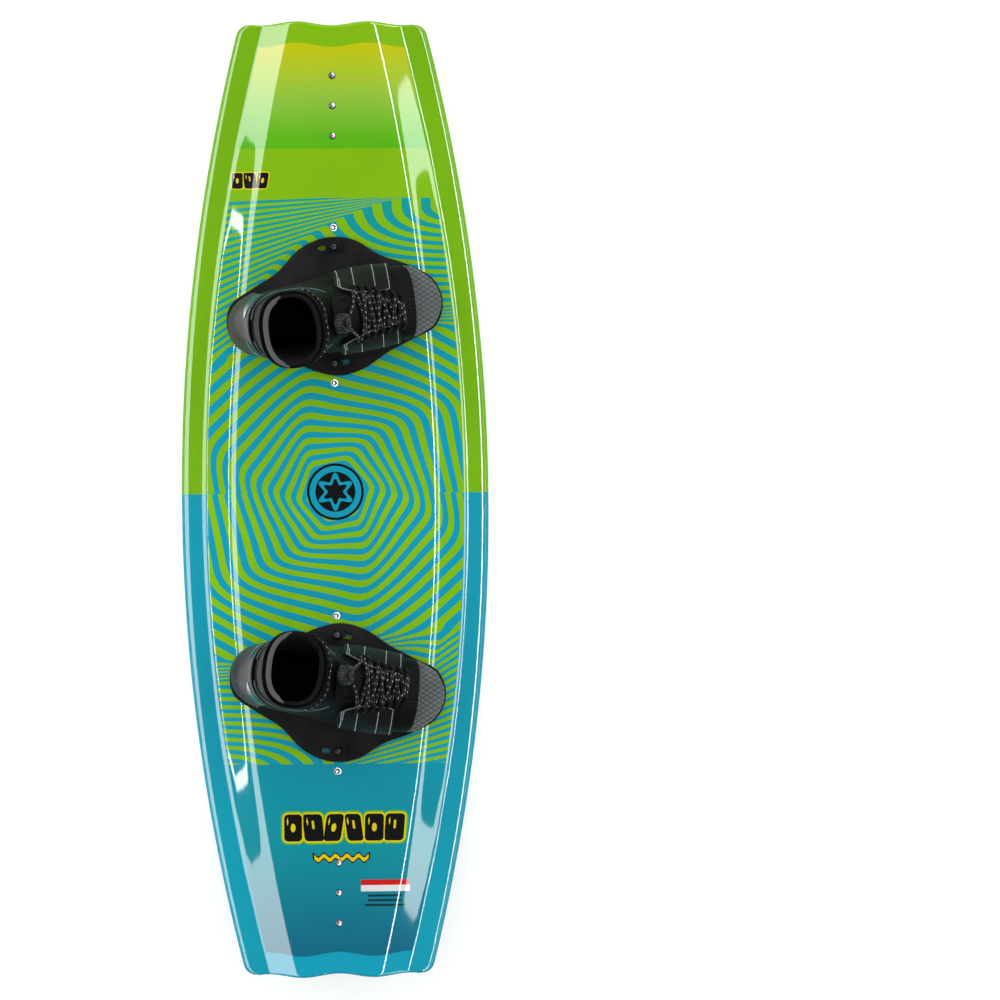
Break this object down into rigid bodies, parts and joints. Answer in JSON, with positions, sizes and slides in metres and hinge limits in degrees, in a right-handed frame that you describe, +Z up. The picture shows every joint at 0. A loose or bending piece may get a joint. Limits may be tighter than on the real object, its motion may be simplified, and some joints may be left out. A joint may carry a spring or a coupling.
{
  "type": "wakeboard with bindings",
  "caption": "Rockered wakeboard with a printed gloss deck and base, a long fin under each tip, and open-toe lace-up boot bindings on turning plates.",
  "frame": {"origin": "on the floor under the middle of the board", "axes": "+Y along the board to its front tip, +X across the board to the toe edge, +Z up out of the deck"},
  "size_m": [0.402, 1.24, 0.2026],
  "materials": {
    "deck_gloss": "printed deck, lime over blue, clear gloss",
    "base_gloss": "printed base, green to teal, clear gloss",
    "foam": "closed-cell foam core",
    "fin_plastic": "black moulded fin",
    "steel": "stainless",
    "black_steel": "black-coated steel",
    "plate_nylon": "fine-textured black nylon",
    "eva_grey": "grey foam with a crossed-line tread",
    "neoprene": "black knit over neoprene",
    "lining": "black brushed lining",
    "band_grey": "grey pull band",
    "counter_grey": "grey moulded heel counter with teal patches",
    "quarter_black": "black synthetic leather, pale stitching",
    "lace_black": "black braided cord with pale flecks",
    "lock_plastic": "black moulded lock"
  },
  "bodies": {
    "board": {"deck_skin": "deck_gloss", "base_skin": "base_gloss", "foam_core": "foam", "front_insert_1": "steel", "front_insert_2": "steel", "front_insert_3": "steel", "front_insert_4": "steel", "front_insert_5": "steel", "front_insert_6": "steel", "front_fin": "fin_plastic", "front_fin_screw_1": "steel", "front_fin_screw_2": "steel", "front_fin_screw_3": "steel", "front_outer_bolt": "black_steel", "front_outer_washer": "plate_nylon", "front_inner_bolt": "black_steel", "front_inner_washer": "plate_nylon", "rear_insert_1": "steel", "rear_insert_2": "steel", "rear_insert_3": "steel", "rear_insert_4": "steel", "rear_insert_5": "steel", "rear_insert_6": "steel", "rear_fin": "fin_plastic", "rear_fin_screw_1": "steel", "rear_fin_screw_2": "steel", "rear_fin_screw_3": "steel", "rear_outer_bolt": "black_steel", "rear_outer_washer": "plate_nylon", "rear_inner_bolt": "black_steel", "rear_inner_washer": "plate_nylon"},
    "front_binding": {"front_plate": "plate_nylon", "front_footbed": "eva_grey", "front_bootie": "neoprene", "front_liner": "lining", "front_cuff_band": "band_grey", "front_heel_counter": "counter_grey", "front_tongue": "quarter_black", "front_outer_quarter": "quarter_black", "front_inner_quarter": "quarter_black", "front_lace": "lace_black"},
    "front_lock": {"front_lace_lock": "lock_plastic"},
    "front_lock_press": {"front_lock_button": "lock_plastic"},
    "rear_binding": {"rear_plate": "plate_nylon", "rear_footbed": "eva_grey", "rear_bootie": "neoprene", "rear_liner": "lining", "rear_cuff_band": "band_grey", "rear_heel_counter": "counter_grey", "rear_tongue": "quarter_black", "rear_outer_quarter": "quarter_black", "rear_inner_quarter": "quarter_black", "rear_lace": "lace_black"},
    "rear_lock": {"rear_lace_lock": "lock_plastic"},
    "rear_lock_press": {"rear_lock_button": "lock_plastic"}
  },
  "joints": [
    {"name": "front_stance", "type": "hinge", "parent": "board", "child": "front_binding", "pos_m": [0, 0.25399, 0.02172], "axis": [0, -0.0364, 0.9993], "range_deg": [-12, 0]},
    {"name": "front_lock_slide", "type": "slide", "parent": "front_binding", "child": "front_lock", "axis": [0.5136, 0.0657, -0.8555], "range_m": [0, 0.005]},
    {"name": "front_lock_push", "type": "slide", "parent": "front_lock", "child": "front_lock_press", "axis": [0.8544, 0.0523, 0.5169], "range_m": [-0.0022, 0], "stiffness_N_per_m": 400, "springref_m": 0.001},
    {"name": "rear_stance", "type": "hinge", "parent": "board", "child": "rear_binding", "pos_m": [0, -0.25399, 0.02172], "axis": [0, 0.0364, 0.9993], "range_deg": [0, 12]},
    {"name": "rear_lock_slide", "type": "slide", "parent": "rear_binding", "child": "rear_lock", "axis": [0.5136, -0.0657, -0.8555], "range_m": [0, 0.005]},
    {"name": "rear_lock_push", "type": "slide", "parent": "rear_lock", "child": "rear_lock_press", "axis": [0.8544, -0.0523, 0.5169], "range_m": [-0.0022, 0], "stiffness_N_per_m": 400, "springref_m": 0.001}
  ]
}
